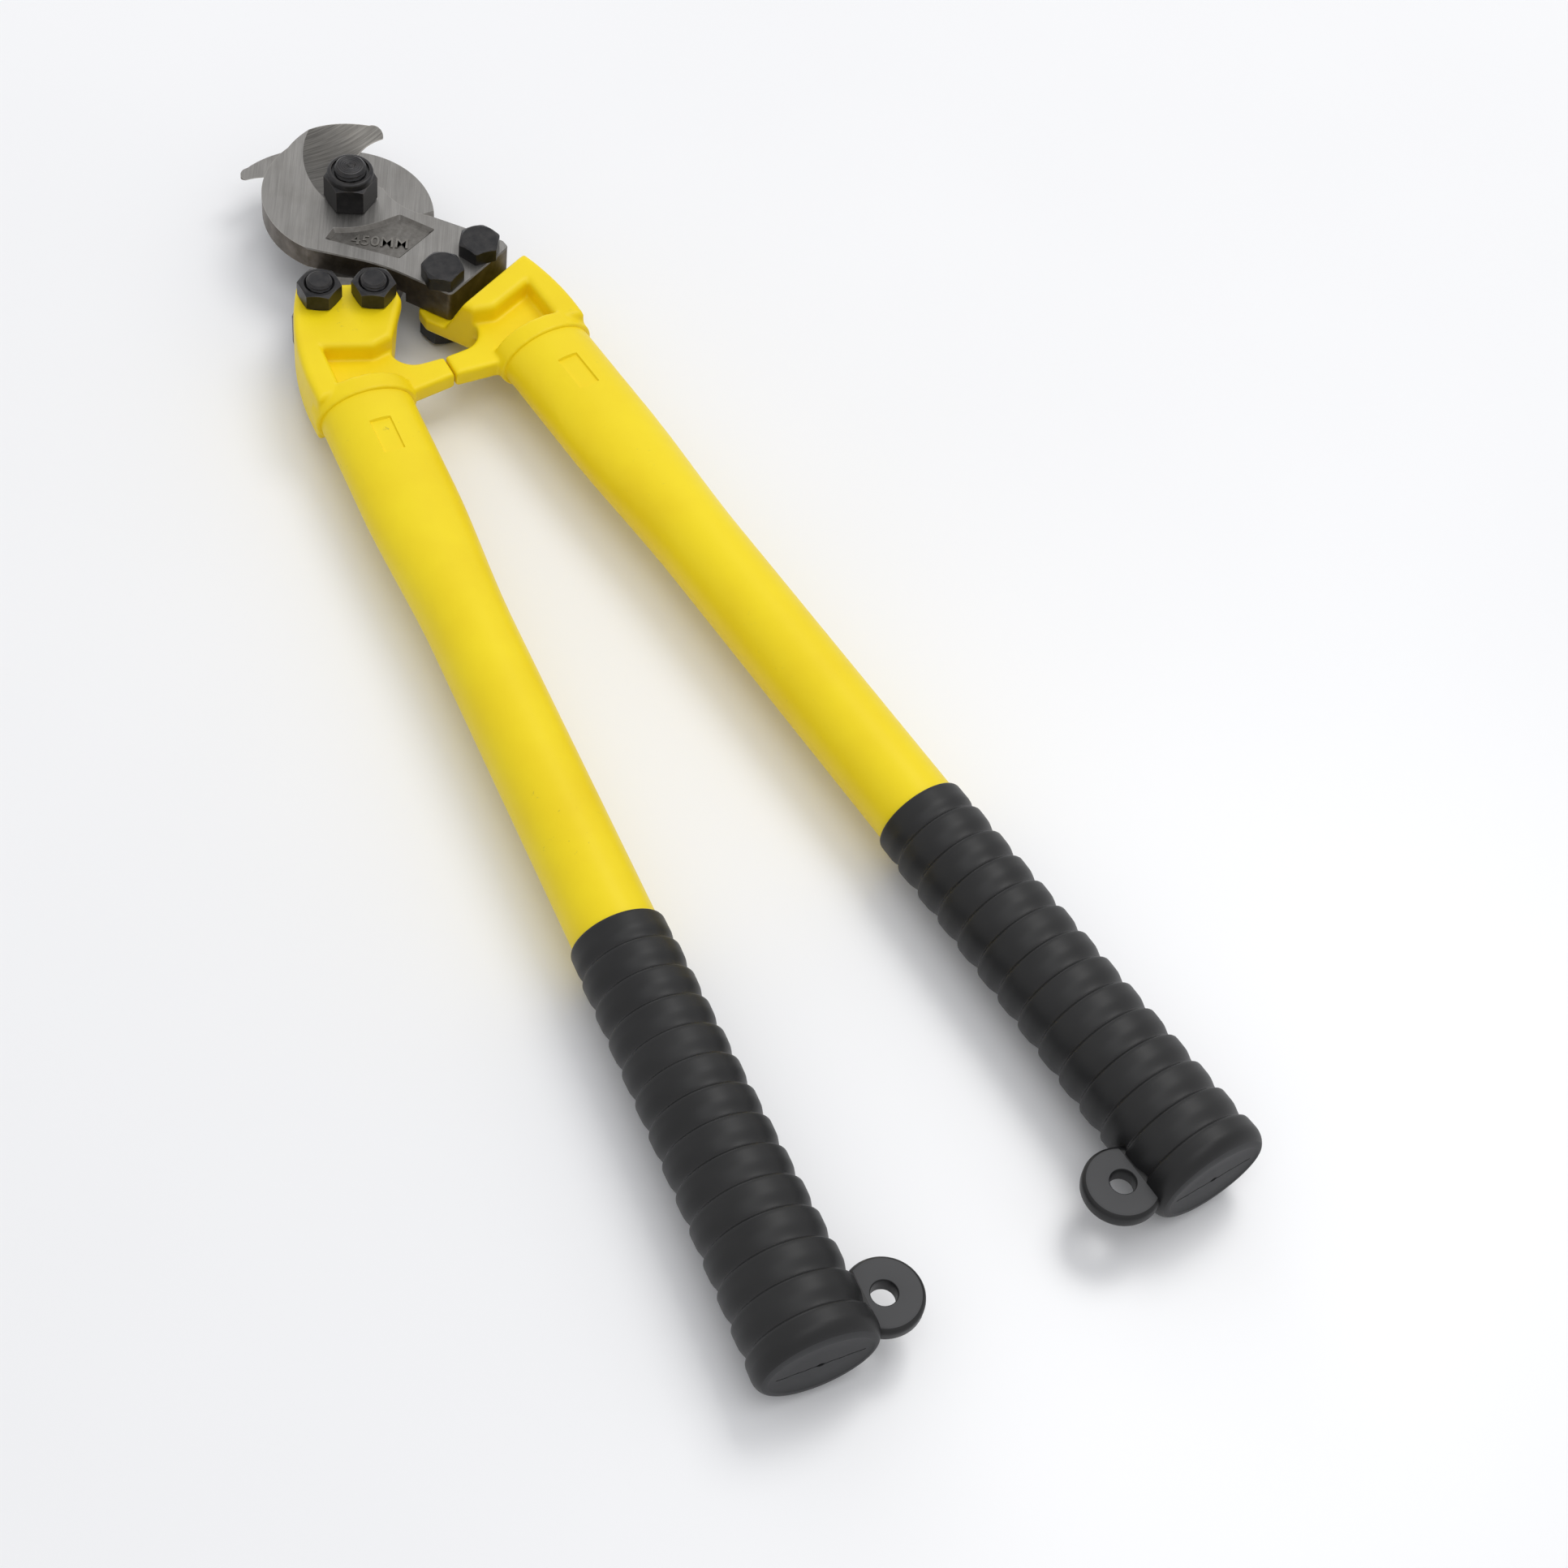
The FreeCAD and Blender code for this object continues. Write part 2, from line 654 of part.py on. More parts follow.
def make_grip(label):
    """A grip along -Y in the same frame as its tube, with a lanyard ear on the -X side."""
    body = new_body(label)
    end = handle_end()
    start = f"({end} - {cell('grip_length')})"
    hollow = f"{cell('tube_radius')} + {cell('grip_gap')}"
    stations = [
        (start, f"{hollow} + {cell('grip_start_side')}", f"{hollow} + {cell('grip_start_top')}"),
        (f"({start} + {end}) / 2", f"{hollow} + {cell('grip_mid_side')}",
         f"{hollow} + {cell('grip_mid_top')}"),
        (end, f"{hollow} + {cell('grip_end_side')}", f"{hollow} + {cell('grip_end_top')}"),
    ]
    sleeve = sections(body, "PartDesign::AdditiveLoft", "sleeve", stations)
    last = min(edge.CenterOfMass.y for edge in sleeve.Shape.Edges)
    round_edges(body, "end_round", sleeve, cell("grip_end_round"),
                lambda edge: edge.BoundBox.YLength < 1e-4 and abs(edge.CenterOfMass.y - last) < 1e-4)
    ear = new_sketch(body, "ear_outline")
    side = f"-({hollow} + {cell('grip_end_side')} + {cell('ear_reach')})"
    radius = cell("ear_radius")
    middle = f"{cell('ear_at')} - {end}"
    outline(ear, [
        (["0", f"{middle} + {radius}"],),
        ([side, f"{middle} + {radius}"],),
        ([f"{side} - {radius} * sin(60)", f"{middle} + {radius} * cos(60)"], "ear_radius", "left"),
        ([f"{side} - {radius} * sin(60)", f"{middle} - {radius} * cos(60)"], "ear_radius", "left"),
        ([side, f"{middle} - {radius}"], "ear_radius", "left"),
        (["0", f"{middle} - {radius}"],),
    ])
    pad(body, "ear", ear, cell("ear_thickness"), midplane=True)
    hole = new_sketch(body, "ear_hole_outline")
    hole.setExpression("AttachmentOffset.Base.x", side)
    hole.setExpression("AttachmentOffset.Base.y", middle)
    circle(hole, cell("ear_hole_radius"))
    pocket(body, "ear_hole", hole, None, through=True)
    cavity = new_sketch(body, "cavity_outline", "XZ_Plane")
    lift(cavity, f"{start} - 1")
    circle(cavity, hollow)
    depth = f"{cell('grip_length')} - {cell('grip_end_wall')} + {cell('grip_gap')} + 1"
    pocket(body, "cavity", cavity, depth, flip=True)
    return body


# ---------------------------------------------------------------- fasteners

def stand(sketch, at, height):
    """Sets a sketch on the XY plane over a named bolt centre, or over the pivot."""
    x, y = spot(at) if at else ("0", "0")
    sketch.setExpression("AttachmentOffset.Base.x", x)
    sketch.setExpression("AttachmentOffset.Base.y", y)
    lift(sketch, height)


def hex_prism(body, name, at, low, height, across, turn, chamfered):
    """Hexagon from height low upwards; chamfered lists the ends whose corners are turned off."""
    base = new_sketch(body, name + "_outline")
    stand(base, at, low)
    hexagon(base, across, turn)
    pad(body, name, base, height)
    inner = f"({across} / 2 - {cell('hex_chamfer_inset')})"
    outer = f"({across} / 2 / cos(30) + {cell('hex_chamfer_reach')})"
    drop = f"({outer} - {inner}) * tan({cell('hex_chamfer_slope')})"
    for end in chamfered:
        face, into = (f"{low} + {height}", "-") if end == "top" else (low, "+")
        cut = new_sketch(body, f"{name}_{end}_section", "XZ_Plane")
        x, y = spot(at) if at else ("0", "0")
        cut.setExpression("AttachmentOffset.Base.x", x)
        cut.setExpression("AttachmentOffset.Base.z", f"-({y})")
        outline(cut, [
            ([inner, face],),
            ([outer, f"{face} {into} {drop}"],),
            ([outer, face],),
        ])
        groove = body.newObject("PartDesign::Groove", f"{name}_{end}_chamfer")
        groove.Profile = cut
        groove.ReferenceAxis = (cut, ["V_Axis"])
        groove.Angle = 360
        doc.recompute()


def shank(body, name, at, low, length, radius):
    base = new_sketch(body, name + "_outline")
    stand(base, at, low)
    circle(base, radius)
    return pad(body, name, base, length)


def make_bolt(label, at, turn):
    """Head on the blade, thread end past the nut under the lap."""
    body = new_body(label)
    thick = cell("blade_thickness")
    hex_prism(body, "head", at, thick, cell("bolt_head_height"), flats("bolt"), turn, ["top"])
    below = f"{cell('bracket_half')} + {cell('bolt_nut_height')} + {cell('bolt_end')}"
    rod = shank(body, "thread", at, f"-({below})", f"{below} + {thick}", cell("bolt_radius"))
    bottom = -float(rod.evalExpression(below))
    bevel_edges(body, "thread_end", rod, cell("bolt_chamfer"),
                lambda edge: abs(edge.BoundBox.ZMax - bottom) < 1e-4)
    return body


def make_nut(label, at, turn):
    body = new_body(label)
    low = f"-{cell('bracket_half')} - {cell('bolt_nut_height')}"
    hex_prism(body, "nut", at, low, cell("bolt_nut_height"), flats("bolt"), turn, ["top", "bottom"])
    bore = new_sketch(body, "bore_outline")
    stand(bore, at, low)
    circle(bore, f"{cell('bolt_radius')} + {cell('thread_gap')}")
    bored = pocket(body, "bore", bore, None, through=True)
    radius = size("bolt_radius") + size("thread_gap")
    bevel_edges(body, "countersinks", bored, cell("nut_countersink"),
                lambda edge: isinstance(edge.Curve, Part.Circle) and abs(edge.Curve.Radius - radius) < 1e-6)
    return body


def make_pivot_bolt(label):
    body = new_body(label)
    thick = cell("blade_thickness")
    seat = f"{thick} + {cell('pivot_washer_height')}"
    head = cell("pivot_head_height")
    hex_prism(body, "head", None, f"-({seat}) - {head}", head, flats("pivot"),
              size("pivot_turn"), ["bottom"])
    top = f"{thick} + {cell('pivot_nut_height')} + {cell('pivot_collar_height')} + {cell('pivot_end')}"
    rod = shank(body, "thread", None, f"-({seat})", f"{seat} + {top}", cell("pivot_radius"))
    height = float(rod.evalExpression(top))
    bevel_edges(body, "thread_end", rod, cell("bolt_chamfer"),
                lambda edge: abs(edge.BoundBox.ZMin - height) < 1e-4)
    return body


def make_ring(label, low, height, outer, inner):
    body = new_body(label)
    shank(body, "ring", None, low, height, outer)
    bore = new_sketch(body, "bore_outline")
    stand(bore, None, low)
    circle(bore, inner)
    pocket(body, "bore", bore, None, through=True)
    return body


def make_pivot_nut(label):
    """Locking nut: hexagon, then a round collar that holds the locking ring."""
    body = new_body(label)
    thick = cell("blade_thickness")
    high = cell("pivot_nut_height")
    hex_prism(body, "nut", None, thick, high, flats("pivot"), size("pivot_turn"), ["top", "bottom"])
    collar = shank(body, "collar", None, f"{thick} + {high}", cell("pivot_collar_height"),
                   f"{insert_radius()} + {cell('pivot_collar_wall')}")
    top = size("blade_thickness") + size("pivot_nut_height") + size("pivot_collar_height")
    round_edges(body, "collar_edge", collar, cell("pivot_collar_round"),
                lambda edge: edge.BoundBox.ZLength < 1e-4 and abs(edge.BoundBox.ZMin - top) < 1e-4)
    bore = new_sketch(body, "bore_outline")
    circle(bore, f"{cell('pivot_radius')} + {cell('thread_gap')}")
    pocket(body, "bore", bore, None, through=True)
    recess = new_sketch(body, "recess_outline")
    rim = f"{thick} + {high} + {cell('pivot_collar_height')}"
    lift(recess, rim)
    circle(recess, f"{insert_radius()} + {cell('thread_gap')}")
    pocket(body, "recess", recess, f"{cell('insert_depth')} + {cell('insert_height')}")
    return body


# ---------------------------------------------------------------- assembly

def halves():
    """Every piece of the right half in half coordinates: label stem, maker, place in the half."""
    along = Placement(Vector(size("handle_x"), -size("handle_y"), 0),
                      Rotation(Vector(0, 0, 1), size("handle_angle")))
    here = Placement()
    return [
        ("blade", make_blade, here),
        ("bracket", make_bracket, here),
        ("tube", make_tube, along),
        ("grip", make_grip, along),
        ("bolt_outer", lambda label: make_bolt(label, "bolt_outer", HEX_TURN[label]), here),
        ("bolt_inner", lambda label: make_bolt(label, "bolt_inner", HEX_TURN[label]), here),
        ("nut_outer", lambda label: make_nut(label, "bolt_outer", HEX_TURN[label]), here),
        ("nut_inner", lambda label: make_nut(label, "bolt_inner", HEX_TURN[label]), here),
    ]


# How far each hexagon was turned when it was tightened, in degrees.
HEX_TURN = {
    "right_bolt_outer": 56, "right_bolt_inner": 27, "right_nut_outer": 12, "right_nut_inner": 47,
    "left_bolt_outer": 20, "left_bolt_inner": 51, "left_nut_outer": 29, "left_nut_inner": 27,
}


def build():
    """All bodies with their places about the pivot."""
    pieces = []
    sides = [("right", Placement()), ("left", Placement(Vector(), Rotation(Vector(0, 1, 0), 180)))]
    for side, turn in sides:
        for stem, maker, place in halves():
            label = f"{side}_{stem}"
            if stem == "blade":
                label = "upper_blade" if side == "right" else "lower_blade"
            pieces.append((maker(label), turn.multiply(place)))
    thick, washer = cell("blade_thickness"), cell("pivot_washer_height")
    loose = f"{cell('pivot_radius')} + {cell('pivot_washer_gap')}"
    snug = f"{cell('pivot_radius')} + {cell('thread_gap')}"
    insert_low = (f"{thick} + {cell('pivot_nut_height')} + {cell('pivot_collar_height')}"
                  f" - {cell('insert_depth')} - {cell('insert_height')}")
    pieces.append((make_pivot_bolt("pivot_bolt"), Placement()))
    pieces.append((make_pivot_nut("pivot_nut"), Placement()))
    pieces.append((make_ring("pivot_washer", f"-{thick} - {washer}", washer,
                             f"{cell('pivot_radius')} + {cell('pivot_washer_width')}", loose), Placement()))
    pieces.append((make_ring("pivot_nut_insert", insert_low, cell("insert_height"),
                             insert_radius(), snug), Placement()))
    return pieces


def check(pieces):
    doc.recompute()
    for thing in doc.Objects:
        if "Invalid" in thing.State or "Error" in thing.State:
            raise RuntimeError(f"{thing.Name}: {thing.State}")
    for body, _ in pieces:
        if body.Shape.isNull() or not body.Shape.isValid() or len(body.Shape.Solids) != 1:
            raise RuntimeError(f"{body.Label}: not one valid solid")


def place(pieces):
    """Moves the pivot so that the origin is the centre of the bottom of the tool."""
    box = FreeCAD.BoundBox()
    for body, turn in pieces:
        body.Placement = turn
        box.add(body.Shape.optimalBoundingBox())
    pivot = Vector(0, -(box.YMin + box.YMax) / 2, -box.ZMin)
    for body, turn in pieces:
        body.Placement = Placement(pivot, Rotation()).multiply(turn)
    print(f"pivot {pivot.x:.3f} {pivot.y:.3f} {pivot.z:.3f}, box x {box.XMin:.2f} to {box.XMax:.2f}, "
          f"y {box.YLength:.2f}, z {box.ZLength:.2f}")


pieces = build()
check(pieces)
place(pieces)
os.makedirs("parts", exist_ok=True)
for body, _ in pieces:
    body.Shape.exportStep(f"parts/{body.Label}.step")
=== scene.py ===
import json
import math

import bmesh
import bpy
import numpy as np
from mathutils import Matrix, Vector


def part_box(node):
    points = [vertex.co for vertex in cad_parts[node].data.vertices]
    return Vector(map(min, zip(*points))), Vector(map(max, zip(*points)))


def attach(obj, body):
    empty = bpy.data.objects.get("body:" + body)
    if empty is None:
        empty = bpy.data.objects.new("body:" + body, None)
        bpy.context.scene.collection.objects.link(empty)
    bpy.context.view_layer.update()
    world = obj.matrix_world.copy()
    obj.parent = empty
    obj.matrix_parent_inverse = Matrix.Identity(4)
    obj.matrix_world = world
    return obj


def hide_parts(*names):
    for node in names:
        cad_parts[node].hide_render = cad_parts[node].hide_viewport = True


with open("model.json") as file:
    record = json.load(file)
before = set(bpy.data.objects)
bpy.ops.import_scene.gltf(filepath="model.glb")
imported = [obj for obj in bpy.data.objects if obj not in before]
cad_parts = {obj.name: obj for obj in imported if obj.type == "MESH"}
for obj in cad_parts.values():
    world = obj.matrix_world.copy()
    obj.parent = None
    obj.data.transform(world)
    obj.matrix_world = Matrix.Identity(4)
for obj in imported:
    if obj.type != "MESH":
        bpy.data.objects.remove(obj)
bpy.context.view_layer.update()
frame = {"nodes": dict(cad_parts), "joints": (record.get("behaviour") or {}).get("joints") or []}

# Scissor-type cable cutter.  Lengths in the tables below are millimetres about the pivot, as
# the right half has them; the left half is the right one turned 180 degrees about the long
# axis.  at() turns them into the frame's metres.

MM = 0.001
PIVOT = Vector(frame["joints"][0]["pos_m"])
NODES = frame["nodes"]
SIDES = (("right", 1, "right_half"), ("left", -1, "left_half"))

BLADE = 8.0             # blade thickness, from the sliding plane
LAP = 9.7               # half thickness of the bracket
BOLT_FLATS = 12.0
BOLT_RADIUS = 4.0
PIVOT_FLATS = 14.6
PIVOT_RADIUS = 5.0
PIVOT_WASHER = 2.2      # thickness of the washer under the pivot's head
PIVOT_TURN = 34.0
HANDLE_AT = (32.3, -100.0)
HANDLE_ANGLE = math.radians(5.02)
HANDLE_ALONG = (math.sin(HANDLE_ANGLE), -math.cos(HANDLE_ANGLE))
HANDLE_ACROSS = (math.cos(HANDLE_ANGLE), math.sin(HANDLE_ANGLE))


def at(x, y, z, side=1):
    """A point given about the pivot in the right half's millimetres, or its twin on the left."""
    return PIVOT + Vector((x * side, y, z * side)) * MM


def handle_point(along, across, up, side=1):
    """A point given along the handle's axis, outward across it, and up."""
    x = HANDLE_AT[0] + along * HANDLE_ALONG[0] + across * HANDLE_ACROSS[0]
    y = HANDLE_AT[1] + along * HANDLE_ALONG[1] + across * HANDLE_ACROSS[1]
    return at(x, y, up, side)


def handle_direction(vector, side):
    return Vector((vector[0] * side, vector[1], 0))


# ---------------------------------------------------------------- materials

class Finish:
    """A material's node tree with short names for the nodes used here."""

    def __init__(self, name):
        self.material = bpy.data.materials.new(name)
        self.material.use_nodes = True
        self.tree = self.material.node_tree
        self.shader = self.tree.nodes["Principled BSDF"]
        self.place = self.tree.nodes.new("ShaderNodeTexCoord").outputs["Object"]

    def node(self, kind, inputs=(), **settings):
        made = self.tree.nodes.new(kind)
        for key, value in settings.items():
            setattr(made, key, value)
        for key, value in dict(inputs).items():
            if isinstance(value, bpy.types.NodeSocket):
                self.tree.links.new(value, made.inputs[key])
            else:
                made.inputs[key].default_value = value
        return made

    def set(self, **values):
        for key, value in values.items():
            socket = self.shader.inputs[key.replace("_", " ")]
            if isinstance(value, bpy.types.NodeSocket):
                self.tree.links.new(value, socket)
            else:
                socket.default_value = value

    def noise(self, scale, detail=3.0, roughness=0.55, place=None, distortion=0.0):
        inputs = {"Vector": place or self.place, "Scale": scale, "Detail": detail,
                  "Roughness": roughness, "Distortion": distortion}
        return self.node("ShaderNodeTexNoise", inputs).outputs["Fac"]

    def stretched(self, angle, scale):
        """Object coordinates turned about Z and scaled, for grinding lines."""
        turned = self.node("ShaderNodeVectorRotate", {"Vector": self.place, "Angle": -angle},
                           rotation_type="Z_AXIS").outputs[0]
        return self.node("ShaderNodeVectorMath", {0: turned, 1: scale}, operation="MULTIPLY").outputs[0]

    def ramp(self, value, *stops, smooth=False):
        """Colour ramp; each stop is a position and a grey level or colour."""
        made = self.node("ShaderNodeValToRGB", {"Fac": value})
        ramp = made.color_ramp
        ramp.interpolation = "EASE" if smooth else "LINEAR"
        while len(ramp.elements) < len(stops):
            ramp.elements.new(0.5)
        for element, (position, colour) in zip(ramp.elements, stops):
            element.position = position
            if isinstance(colour, (int, float)):
                colour = (colour,) * 3
            element.color = (*colour, 1.0)
        return made.outputs["Color"]

    def mix(self, factor, a, b, blend="MIX"):
        made = self.node("ShaderNodeMix", data_type="RGBA", blend_type=blend)
        for index, value in ((0, factor), (6, a), (7, b)):
            if isinstance(value, bpy.types.NodeSocket):
                self.tree.links.new(value, made.inputs[index])
            elif isinstance(value, tuple):
                made.inputs[index].default_value = (*value, 1.0)
            else:
                made.inputs[index].default_value = value
        return made.outputs[2]

    def math(self, operation, a, b=0.0, clamp=False):
        return self.node("ShaderNodeMath", {0: a, 1: b}, operation=operation, use_clamp=clamp).outputs[0]

    def dot(self, vector, direction):
        made = self.node("ShaderNodeVectorMath", {0: vector, 1: direction}, operation="DOT_PRODUCT")
        return made.outputs["Value"]

    def facing(self):
        """How squarely a face lies on the tool's plane: 1 on flats, 0 on walls."""
        normal = self.node("ShaderNodeTexCoord").outputs["Normal"]
        return self.math("ABSOLUTE", self.dot(normal, (0, 0, 1)))

    def edges(self, radius, low, high):
        """1 along sharp edges, 0 on the faces between them."""
        soft = self.node("ShaderNodeBevel", {"Radius": radius}, samples=6).outputs[0]
        true = self.node("ShaderNodeNewGeometry").outputs["Normal"]
        bent = self.math("SUBTRACT", 1.0, self.node(
            "ShaderNodeVectorMath", {0: soft, 1: true}, operation="DOT_PRODUCT").outputs["Value"])
        return self.ramp(bent, (low, 0.0), (high, 1.0))

    def bump(self, height, distance, strength=1.0, under=None):
        inputs = {"Height": height, "Distance": distance, "Strength": strength}
        if under is not None:
            inputs["Normal"] = under
        return self.node("ShaderNodeBump", inputs).outputs["Normal"]


def blade_steel():
    f = Finish("blade_steel")
    lines = f.noise(1.0, 4.0, 0.65, f.stretched(math.radians(62), (60, 3200, 60)))
    broad = f.noise(1.0, 2.0, 0.5, f.stretched(math.radians(62), (45, 500, 45)))
    cross = f.noise(1.0, 3.0, 0.6, f.stretched(math.radians(20), (70, 2300, 70)))
    cloud = f.noise(90.0, 4.0)
    facing = f.facing()
    on_bevel = f.ramp(facing, (0.80, 0.0), (0.88, 1.0), (0.94, 1.0), (0.97, 0.0))
    on_wall = f.ramp(facing, (0.3, 1.0), (0.7, 0.0))
    grain = f.mix(on_bevel, f.ramp(lines, (0.3, 0.72), (0.7, 1.0)),
                  f.ramp(cross, (0.3, 0.6), (0.7, 1.0)))
    flat = f.mix(1.0, (0.285, 0.277, 0.265), grain, "MULTIPLY")
    flat = f.mix(0.6, flat, f.ramp(broad, (0.3, 0.75), (0.7, 1.0)), "MULTIPLY")
    ground = f.mix(1.0, (0.145, 0.139, 0.130), f.ramp(cross, (0.3, 0.5), (0.7, 1.0)), "MULTIPLY")
    flat = f.mix(on_bevel, flat, ground)
    from_pivot = f.node("ShaderNodeVectorMath", {0: f.place, 1: PIVOT}, operation="SUBTRACT").outputs[0]
    height = f.math("ABSOLUTE", f.dot(from_pivot, (0, 0, 1)))
    in_panel = f.math("MULTIPLY", f.math("LESS_THAN", height, (BLADE - 0.05) * MM),
                      f.math("LESS_THAN", f.dot(from_pivot, (0, 1, 0)), -8 * MM))
    pressed = f.ramp(f.noise(650.0, 4.0), (0.3, (0.115, 0.108, 0.10)), (0.7, (0.165, 0.158, 0.148)))
    flat = f.mix(in_panel, flat, pressed)
    wall = f.mix(f.ramp(f.noise(260.0, 5.0), (0.35, 0.0), (0.7, 1.0)),
                 (0.085, 0.072, 0.058), (0.16, 0.14, 0.12))
    colour = f.mix(on_wall, flat, wall)
    colour = f.mix(f.ramp(cloud, (0.45, 0.0), (0.75, 0.25)), colour, (0.13, 0.12, 0.105))
    # Lighter steel along sharp edges: partly edge wear, partly a painted highlight where light catches
    # the edges.
    colour = f.mix(f.math("MULTIPLY", f.edges(0.0006, 0.02, 0.3), 0.4), colour, (0.42, 0.40, 0.37))
    rough = f.math("ADD", 0.34, f.math("MULTIPLY", lines, 0.18))
    normal = f.bump(grain, 0.00004, 0.6)
    normal = f.bump(f.noise(1400.0, 2.0), 0.00003, 0.3, normal)
    f.set(Base_Color=colour, Metallic=0.92, Roughness=rough, Normal=normal)
    return f.material


def mark_steel():
    """The raised size mark, as the panel floor it stands on."""
    f = Finish("mark_steel")
    cloud = f.ramp(f.noise(700.0, 4.0), (0.3, (0.14, 0.132, 0.12)), (0.7, (0.22, 0.21, 0.195)))
    f.set(Base_Color=cloud, Metallic=0.9, Roughness=0.45, Normal=f.bump(f.noise(2500.0), 0.00004, 0.5))
    return f.material


def yellow_paint(name, base, deep, peel, specks):
    f = Finish(name)
    cloud = f.noise(34.0, 4.0)
    colour = f.mix(f.ramp(cloud, (0.35, 0.0), (0.75, 1.0)), base, deep)
    grime = f.noise(420.0, 6.0, 0.75)
    patch = f.ramp(f.noise(28.0, 3.0), (0.55, 0.0), (0.72, 1.0))
    dots = f.ramp(grime, (specks, 0.0), (specks + 0.05, 0.55))
    colour = f.mix(f.mix(1.0, dots, patch, "MULTIPLY"), colour, (0.24, 0.21, 0.05))
    # Brighter yellow along sharp edges: a painted highlight where light catches the rounded edges.
    colour = f.mix(f.math("MULTIPLY", f.edges(0.0012, 0.03, 0.35), 0.16), colour, (0.96, 0.80, 0.06))
    normal = f.bump(f.noise(620.0, 2.0, 0.5), 0.0001, peel)
    normal = f.bump(f.noise(2600.0, 2.0), 0.00003, peel, normal)
    rough = f.math("ADD", 0.36, f.math("MULTIPLY", cloud, 0.12))
    f.set(Base_Color=colour, Roughness=rough, Normal=normal, Specular_IOR_Level=0.28)
    return f.material


def grip_black(side, end):
    """Soft PVC: greyer and less glossy on the end face and the ear."""
    f = Finish(f"grip_black_{'right' if side > 0 else 'left'}")
    origin = handle_point(0, 0, 0, side)
    from_axis = f.node("ShaderNodeVectorMath", {0: f.place, 1: origin}, operation="SUBTRACT").outputs[0]
    along = f.dot(from_axis, handle_direction(HANDLE_ALONG, side))
    across = f.dot(from_axis, handle_direction(HANDLE_ACROSS, side))
    on_end = f.math("GREATER_THAN", along, (end - 0.5) * MM)
    flat = f.facing()
    on_ear = f.math("MULTIPLY", f.math("LESS_THAN", across, -17.5 * MM),
                    f.math("GREATER_THAN", flat, 0.9))
    matt = f.math("MAXIMUM", on_end, on_ear)
    cloud = f.noise(55.0, 5.0, 0.6)
    colour = f.ramp(cloud, (0.35, (0.0075, 0.0075, 0.008)), (0.7, (0.0125, 0.0125, 0.013)))
    colour = f.mix(f.math("MULTIPLY", on_end, 0.9), colour, (0.042, 0.042, 0.044))
    colour = f.mix(f.math("MULTIPLY", on_ear, 0.9), colour, (0.066, 0.066, 0.068))
    dust = f.ramp(f.noise(900.0, 6.0, 0.8), (0.74, 0.0), (0.8, 0.25))
    colour = f.mix(dust, colour, (0.12, 0.12, 0.115))
    rough = f.math("ADD", f.math("MULTIPLY", cloud, 0.16),
                   f.math("ADD", 0.36, f.math("MULTIPLY", matt, 0.2)))
    normal = f.bump(f.noise(1700.0, 3.0), 0.00005, 0.25)
    f.set(Base_Color=colour, Roughness=rough, Normal=normal, Specular_IOR_Level=0.32)
    return f.material


def black_oxide():
    f = Finish("black_oxide")
    cloud = f.noise(330.0, 5.0, 0.6)
    colour = f.ramp(cloud, (0.35, (0.012, 0.012, 0.014)), (0.75, (0.032, 0.030, 0.030)))
    # Lighter brown along sharp edges: partly worn oxide, partly a painted highlight on the chamfers.
    colour = f.mix(f.math("MULTIPLY", f.edges(0.0005, 0.02, 0.3), 0.5), colour, (0.13, 0.115, 0.10))
    normal = f.bump(f.noise(1500.0, 3.0), 0.00004, 0.35)
    rough = f.math("ADD", 0.24, f.math("MULTIPLY", cloud, 0.3))
    f.set(Base_Color=colour, Metallic=0.55, Roughness=rough, Normal=normal)
    return f.material


def insert_nylon():
    f = Finish("insert_nylon")
    colour = f.ramp(f.noise(800.0, 4.0), (0.3, (0.008, 0.008, 0.009)), (0.7, (0.018, 0.018, 0.02)))
    f.set(Base_Color=colour, Roughness=0.5, Normal=f.bump(f.noise(2200.0), 0.00003, 0.3))
    return f.material


STEEL = blade_steel()
MARK = mark_steel()
CAST = yellow_paint("cast_yellow", (0.90, 0.69, 0.006), (0.84, 0.61, 0.004), 0.5, 0.60)
TUBE = yellow_paint("tube_yellow", (0.90, 0.70, 0.010), (0.85, 0.63, 0.007), 0.22, 0.63)
OXIDE = black_oxide()
NYLON = insert_nylon()


def dress(piece, material):
    piece.data.materials.clear()
    piece.data.materials.append(material)


# ---------------------------------------------------------------- mesh helpers

def new_piece(name, verts, faces, material, body, sharp=35.0):
    mesh = bpy.data.meshes.new(name)
    mesh.from_pydata([tuple(v) for v in verts], [], faces)
    mesh.update()
    piece = bpy.data.objects.new(name, mesh)
    bpy.context.scene.collection.objects.link(piece)
    settle(piece, sharp)
    dress(piece, material)
    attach(piece, body)
    return piece


def settle(piece, sharp):
    """Outward normals, smooth shading, and sharp edges past an angle."""
    bm = bmesh.new()
    bm.from_mesh(piece.data)
    bmesh.ops.recalc_face_normals(bm, faces=bm.faces)
    bm.to_mesh(piece.data)
    bm.free()
    piece.data.shade_smooth()
    piece.data.set_sharp_from_angle(angle=math.radians(sharp))


def rings_to_faces(rings, around, closed=False):
    """Quads between successive rings of points; closed joins the last ring to the first."""
    faces = []
    for row in range(rings if closed else rings - 1):
        low, high = row * around, ((row + 1) % rings) * around
        for k in range(around):
            after = (k + 1) % around
            faces.append((low + k, low + after, high + after, high + k))
    return faces


